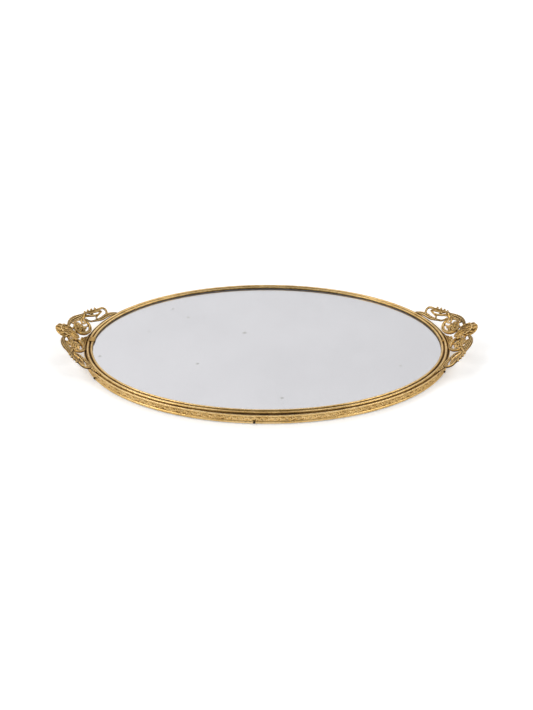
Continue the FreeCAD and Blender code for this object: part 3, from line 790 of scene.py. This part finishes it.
def oval_slab(offset, bottom, top, edge, rings, columns=320):
    """Solid oval plate with a small rounded edge, as points and faces."""
    chamfer = edge * 0.3
    profile = [(offset - edge, bottom), (offset - chamfer, bottom + chamfer), (offset, bottom + edge),
               (offset, top - edge), (offset - chamfer, top - chamfer), (offset - edge, top)]
    turns = 2 * math.pi * np.arange(columns) / columns
    loops = []
    for m, z in profile:
        x, y = (HALF_LONG + m) * np.cos(turns), (HALF_SHORT + m) * np.sin(turns)
        loops.append(np.stack([x, y, np.full(columns, z)], 1))
    shares = np.linspace(1, 0, rings + 1)[1:-1]
    lead = [loops[0] * (share, share, 1) for share in shares[::-1]]
    tail = [loops[-1] * (share, share, 1) for share in shares]
    rows = lead + loops + tail
    points = np.vstack(rows + [np.array([[0, 0, bottom], [0, 0, top]])])
    faces = []
    for r in range(len(rows) - 1):
        for c in range(columns):
            d = (c + 1) % columns
            faces.append([r * columns + c, r * columns + d, (r + 1) * columns + d, (r + 1) * columns + c])
    under, over, last = len(points) - 2, len(points) - 1, (len(rows) - 1) * columns
    for c in range(columns):
        d = (c + 1) % columns
        faces.append([under, d, c])
        faces.append([over, last + c, last + d])
    return points, faces


# ---------- materials

class Nodes:
    """Short hand for wiring the nodes of a material or a world."""

    def __init__(self, node_tree):
        self.nodes = node_tree.nodes
        self.links = node_tree.links

    def link(self, source, target):
        """Set an input to a number, a colour or a vector, or link it to an output."""
        if isinstance(source, (int, float)):
            target.default_value = source
        elif isinstance(source, tuple):
            # A colour takes a fourth value that a vector doesn't.
            target.default_value = (*source, 1)[:len(target.default_value)]
        else:
            self.links.new(source, target)

    def fill(self, node, output, **inputs):
        """Set or link a node's inputs, and give one of its outputs."""
        for name, value in inputs.items():
            self.link(value, node.inputs[name.replace("_", " ")])
        return node.outputs[output]

    def new(self, kind, output, **inputs):
        return self.fill(self.nodes.new("ShaderNode" + kind), output, **inputs)

    def ramp(self, source, low, high, start=0.0, end=1.0):
        """A smooth step from start to end as the source goes from low to high."""
        node = self.nodes.new("ShaderNodeMapRange")
        node.interpolation_type = "SMOOTHSTEP"
        return self.fill(node, "Result", Value=source, From_Min=low, From_Max=high,
                         To_Min=start, To_Max=end)

    def math(self, kind, a, b):
        node = self.nodes.new("ShaderNodeMath")
        node.operation = kind
        self.link(a, node.inputs[0])
        self.link(b, node.inputs[1])
        return node.outputs[0]


class Tree(Nodes):
    """Short hand for building a material."""

    def __init__(self, name):
        self.material = bpy.data.materials.new(name)
        self.material.use_nodes = True
        super().__init__(self.material.node_tree)
        self.shader = self.nodes["Principled BSDF"]
        self.coords = self.new("TexCoord", "Object")

    def noise(self, scale, detail=4.0, rough=0.55, stretch=None):
        source = self.coords
        if stretch:
            source = self.new("Mapping", "Vector", Scale=stretch, Vector=source)
        return self.new("TexNoise", "Fac", Scale=scale, Detail=detail, Roughness=rough, Vector=source)

    def spots(self, scale):
        """Distance from the nearest of many scattered points, in cells."""
        return self.new("TexVoronoi", "Distance", Scale=scale, Vector=self.coords)

    def mix(self, factor, a, b):
        node = self.nodes.new("ShaderNodeMix")
        node.data_type = "RGBA"
        self.link(factor, node.inputs["Factor"])
        self.link(a, node.inputs[6])
        self.link(b, node.inputs[7])
        return node.outputs[2]

    def attribute(self, name):
        node = self.nodes.new("ShaderNodeAttribute")
        node.attribute_name = name
        return node.outputs["Fac"]

    def recess(self, distance, samples=8):
        """1 in the open, less where the surface is closed in."""
        node = self.nodes.new("ShaderNodeAmbientOcclusion")
        node.samples = samples
        return self.fill(node, "AO", Distance=distance)

    def bump(self, height, strength, distance):
        normal = self.new("Bump", "Normal", Strength=strength, Distance=distance, Height=height)
        self.link(normal, self.shader.inputs["Normal"])

    def set(self, **values):
        """Set or link the shader's inputs, and give the finished material."""
        self.fill(self.shader, 0, **values)
        return self.material


def gilt_material(name, light, deep, brown_tone, dirty=0.0, grain=1.0):
    """Antique gold: bright ridges of gilt wear with painted highlights, brown patina and painted shade in
    the deep places.
    """
    tree = Tree(name)
    drift = tree.noise(55, 5)
    mottle = tree.noise(420, 5, 0.6)
    fine = tree.noise(900, 3, 0.6)
    gold = tree.mix(tree.ramp(drift, 0.35, 0.68), light, deep)
    gold = tree.mix(tree.ramp(mottle, 0.50, 0.74, 0, 0.55), gold, brown_tone)
    # Depth below the surroundings, broken up so the edge of the patina and painted shade is ragged.
    ragged = tree.ramp(fine, 0.3, 0.7, dirty - 0.45, dirty + 0.45)
    depth = tree.math("ADD", tree.attribute("patina_and_painted_light"), ragged)
    depth = tree.math("ADD", depth, tree.ramp(drift, 0.3, 0.7, -0.3, 0.3))
    # Places closed in by nearby metal get painted shade from the ambient occlusion.
    depth = tree.math("ADD", depth, tree.ramp(tree.recess(0.003), 0.2, 0.6, 1.2, 0.0))
    # Brown, and near black where deepest: patina together with the painted shade that the depth carries.
    brown = tree.ramp(depth, 0.0, 1.1)
    black = tree.ramp(depth, 0.9, 2.1, 0, 0.92)
    colour = tree.mix(brown, gold, brown_tone)
    colour = tree.mix(black, colour, (0.022, 0.012, 0.006))
    # High places turn pale: gilt wear with a painted highlight.
    wear_and_highlight = tree.ramp(depth, -0.5, -1.5, 0, 0.6)
    colour = tree.mix(wear_and_highlight, colour, (0.92, 0.70, 0.38))
    rough = tree.math("ADD", tree.ramp(mottle, 0.3, 0.75, 0.25, 0.40), tree.math("MULTIPLY", brown, 0.2))
    height = tree.math("ADD", tree.noise(1500, 4), tree.math("MULTIPLY", mottle, 1.2))
    tree.bump(height, 0.35 * grain, 0.00012)
    metal = tree.math("SUBTRACT", 1.0, tree.math("MULTIPLY", black, 0.5))
    return tree.set(Base_Color=colour, Roughness=rough, Metallic=metal, Specular_IOR_Level=0.15)


def glass_material():
    """Clear plate glass with a few dull smears."""
    tree = Tree("plate_glass")
    rough = tree.ramp(tree.noise(14, 3), 0.45, 0.75, 0.0, 0.012)
    return tree.set(Base_Color=(0.99, 0.99, 0.995), Roughness=rough, IOR=1.5, Transmission_Weight=1.0)


def silver_material():
    """Old silvering: clear, very slightly clouded."""
    tree = Tree("silvering")
    cloud = tree.ramp(tree.noise(9, 4), 0.35, 0.7)
    colour = tree.mix(cloud, (0.92, 0.915, 0.94), (0.885, 0.88, 0.905))
    # A few faint spots of age.
    specks = tree.ramp(tree.spots(30), 0.02, 0.09)
    colour = tree.mix(specks, (0.66, 0.65, 0.64), colour)
    return tree.set(Base_Color=colour, Metallic=1.0, Roughness=0.02)


def felt_material():
    """Green pressed wool with worn patches and pale lint."""
    tree = Tree("pressed_felt")
    fibre = tree.noise(900, 6, 0.7)
    patch = tree.noise(30, 4)
    colour = tree.mix(tree.ramp(fibre, 0.3, 0.7), (0.040, 0.095, 0.058), (0.13, 0.23, 0.15))
    colour = tree.mix(tree.ramp(patch, 0.45, 0.75, 0, 0.4), colour, (0.19, 0.26, 0.18))
    lint = tree.ramp(tree.noise(230, 2, 0.5, (1.0, 5.0, 1.0)), 0.68, 0.76, 0, 0.5)
    colour = tree.mix(lint, colour, (0.36, 0.38, 0.33))
    tree.bump(fibre, 0.8, 0.0006)
    return tree.set(Base_Color=colour, Roughness=0.96, Sheen_Weight=0.5)


def board_material():
    """Brown hardboard."""
    tree = Tree("hardboard")
    pulp = tree.noise(500, 6, 0.7)
    colour = tree.mix(tree.ramp(pulp, 0.3, 0.7), (0.13, 0.07, 0.035), (0.24, 0.14, 0.07))
    tree.bump(pulp, 0.5, 0.0003)
    return tree.set(Base_Color=colour, Roughness=0.8)


def card_material():
    """Soft buff card."""
    tree = Tree("buff_card")
    pulp = tree.noise(350, 6, 0.7)
    colour = tree.mix(tree.ramp(pulp, 0.3, 0.7), (0.26, 0.20, 0.13), (0.40, 0.32, 0.22))
    tree.bump(pulp, 0.5, 0.0003)
    return tree.set(Base_Color=colour, Roughness=0.9)


def nail_material():
    """Blackened steel, rusting here and there."""
    tree = Tree("blackened_steel")
    rust = tree.noise(900, 4)
    colour = tree.mix(tree.ramp(rust, 0.35, 0.7), (0.018, 0.014, 0.012), (0.085, 0.045, 0.022))
    tree.bump(rust, 0.4, 0.0001)
    return tree.set(Base_Color=colour, Metallic=0.7, Roughness=tree.ramp(rust, 0.3, 0.7, 0.4, 0.65))


def floor_material():
    """Plain pale paper."""
    tree = Tree("pale_floor")
    colour = tree.mix(tree.noise(2, 3), (0.90, 0.90, 0.90), (0.915, 0.915, 0.912))
    # It pales into the backdrop well away from the tray.
    away = tree.nodes.new("ShaderNodeVectorMath")
    away.operation = "LENGTH"
    paling = tree.ramp(tree.fill(away, "Value", Vector=tree.coords), 0.2, 1.6, 0.1, 1.0)
    paling = tree.math("MULTIPLY", paling, tree.new("LightPath", "Is Camera Ray"))
    glow = tree.math("ADD", paling, 0.22)
    tree.set(Base_Color=colour, Roughness=0.9, Emission_Color=(1, 1, 1), Emission_Strength=glow)
    # Seen from below the floor is clear, so the tray's underside can be looked at.
    blend = tree.nodes.new("ShaderNodeMixShader")
    tree.links.new(tree.new("NewGeometry", "Backfacing"), blend.inputs[0])
    tree.links.new(tree.shader.outputs[0], blend.inputs[1])
    tree.links.new(tree.new("BsdfTransparent", 0), blend.inputs[2])
    tree.links.new(blend.outputs[0], tree.nodes["Material Output"].inputs["Surface"])
    return tree.material


# ---------- mirror, felt and linings

def build_mirror():
    """Silvered sheet with the glass a hair above it."""
    silver_top = CARD_TOP + 0.12
    points, faces = oval_slab(GLASS_EDGE, CARD_TOP, silver_top, edge=0.02, rings=2)
    add_piece("mirror_silvering", points, faces, silver_material(), ["mirror_plate"], smooth=False)
    points, faces = oval_slab(GLASS_EDGE, silver_top + 0.02, GLASS_TOP, edge=0.25, rings=2)
    add_piece("mirror_glass", points, faces, glass_material(), ["mirror_plate"], smooth=False)


def build_felt():
    """Felt pad whose underside is rough by the height of its nap."""
    top, nap, nap_reach = 1.2, 0.09, 0.3
    points, faces = oval_slab(SHEET_OUT - 0.05, 0.0, top, edge=0.35, rings=60)
    random = np.random.default_rng(7)
    points[:, 2] += np.where(points[:, 2] < nap_reach, random.uniform(0, nap, len(points)), 0)
    add_piece("base_felt_nap", points, faces, felt_material(), ["base_felt"])


def dress_cad(materials):
    """Materials for the CAD nodes that keep their own shapes."""
    for node, material in materials.items():
        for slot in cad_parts[node].material_slots:
            slot.material = material


# ---------- stage

def build_floor(half=8, drop=-0.0002):
    """Wide floor a hair under the tray, in metres."""
    mesh = bpy.data.meshes.new("floor")
    corners = [(-half, -half, drop), (half, -half, drop), (half, half, drop), (-half, half, drop)]
    mesh.from_pydata(corners, [], [(0, 1, 2, 3)])
    mesh.materials.append(floor_material())
    floor = bpy.data.objects.new("floor", mesh)
    bpy.context.scene.collection.objects.link(floor)


def build_studio():
    """Bright wall behind the tray and a dimmer room on the camera's side of it."""
    world = bpy.data.worlds.new("studio")
    bpy.context.scene.world = world
    world.use_nodes = True
    net = Nodes(world.node_tree)
    split = net.nodes.new("ShaderNodeSeparateXYZ")
    net.link(net.new("TexCoord", "Generated"), split.inputs[0])
    x, y, z = split.outputs
    # The room is paler near the floor, and the wall takes over toward the rear.
    room = net.ramp(z, 0.12, 0.5, 0.66, 0.26)
    toward_wall = net.ramp(y, -0.45, 0.40)
    lift = net.math("MULTIPLY", toward_wall, net.math("SUBTRACT", 0.80, room))
    tone = net.math("ADD", room, lift)
    # A little brighter from the left, and dim straight overhead.
    tone = net.math("MULTIPLY", tone, net.ramp(x, -0.5, 0.6, 1.045, 0.90))
    tone = net.math("MULTIPLY", tone, net.ramp(z, 0.70, 0.95, 1.0, 0.45))
    # The backdrop itself photographs white.
    tone = net.math("MAXIMUM", tone, net.new("LightPath", "Is Camera Ray"))
    net.link(tone, net.nodes["Background"].inputs["Color"])


def softbox(name, place, size, watts):
    """A rectangular light aimed at the middle of the tray."""
    lamp = bpy.data.lights.new(name, "AREA")
    lamp.shape = "RECTANGLE"
    lamp.size, lamp.size_y = size
    lamp.energy = watts
    obj = bpy.data.objects.new(name, lamp)
    obj.location = place
    obj.rotation_euler = (-Vector(place)).to_track_quat("-Z", "Y").to_euler()
    bpy.context.scene.collection.objects.link(obj)


def build_camera(reach=0.8785, elevation=31.1, swing=0.89, roll=0.30):
    """Camera aimed at the middle of the mirror: distance in metres, angles in degrees."""
    up, turn = math.radians(elevation), math.radians(swing)
    lens = bpy.data.cameras.new("camera")
    lens.sensor_width = 36
    lens.lens = 42.33
    lens.shift_x = -0.001
    lens.shift_y = -0.0186
    camera = bpy.data.objects.new("camera", lens)
    camera.location = (-reach * math.sin(turn) * math.cos(up), -reach * math.cos(turn) * math.cos(up),
                       GLASS_TOP * MM + reach * math.sin(up))
    aim = Euler((math.pi / 2 - up, 0, -turn)).to_matrix() @ Matrix.Rotation(math.radians(roll), 3, "Z")
    camera.rotation_euler = aim.to_euler()
    bpy.context.scene.collection.objects.link(camera)
    bpy.context.scene.camera = camera


# ---------- assembly

cast_gilt = gilt_material("antique_gilt_cast", light=(0.76, 0.47, 0.15), deep=(0.49, 0.29, 0.08),
                          brown_tone=(0.16, 0.078, 0.021), dirty=0.2)
band_gilt = gilt_material("antique_gilt_stamped", light=(0.80, 0.53, 0.20), deep=(0.69, 0.44, 0.15),
                          brown_tone=(0.32, 0.175, 0.055), dirty=-0.1)
bezel_gilt = gilt_material("antique_gilt_rolled", light=(0.69, 0.445, 0.155), deep=(0.53, 0.325, 0.10),
                           brown_tone=(0.25, 0.13, 0.038), grain=0.6)

build_handles(cast_gilt)
build_rim(band_gilt, bezel_gilt)
build_nails(nail_material())
build_mirror()
build_felt()
dress_cad({"cushion_sheet": card_material(), "backing_board": board_material(),
           "seam_plate_left": bezel_gilt, "seam_solder_right": bezel_gilt})

build_floor()
build_studio()
softbox("left_box", place=(-1.0, -0.4, 1.25), size=(0.9, 0.6), watts=8.5)
softbox("right_box", place=(1.0, -0.4, 1.25), size=(0.9, 0.6), watts=7.0)
softbox("back_strip", place=(0.0, 1.3, 1.7), size=(1.6, 0.3), watts=5)
build_camera()
bpy.context.scene.view_settings.view_transform = "Standard"
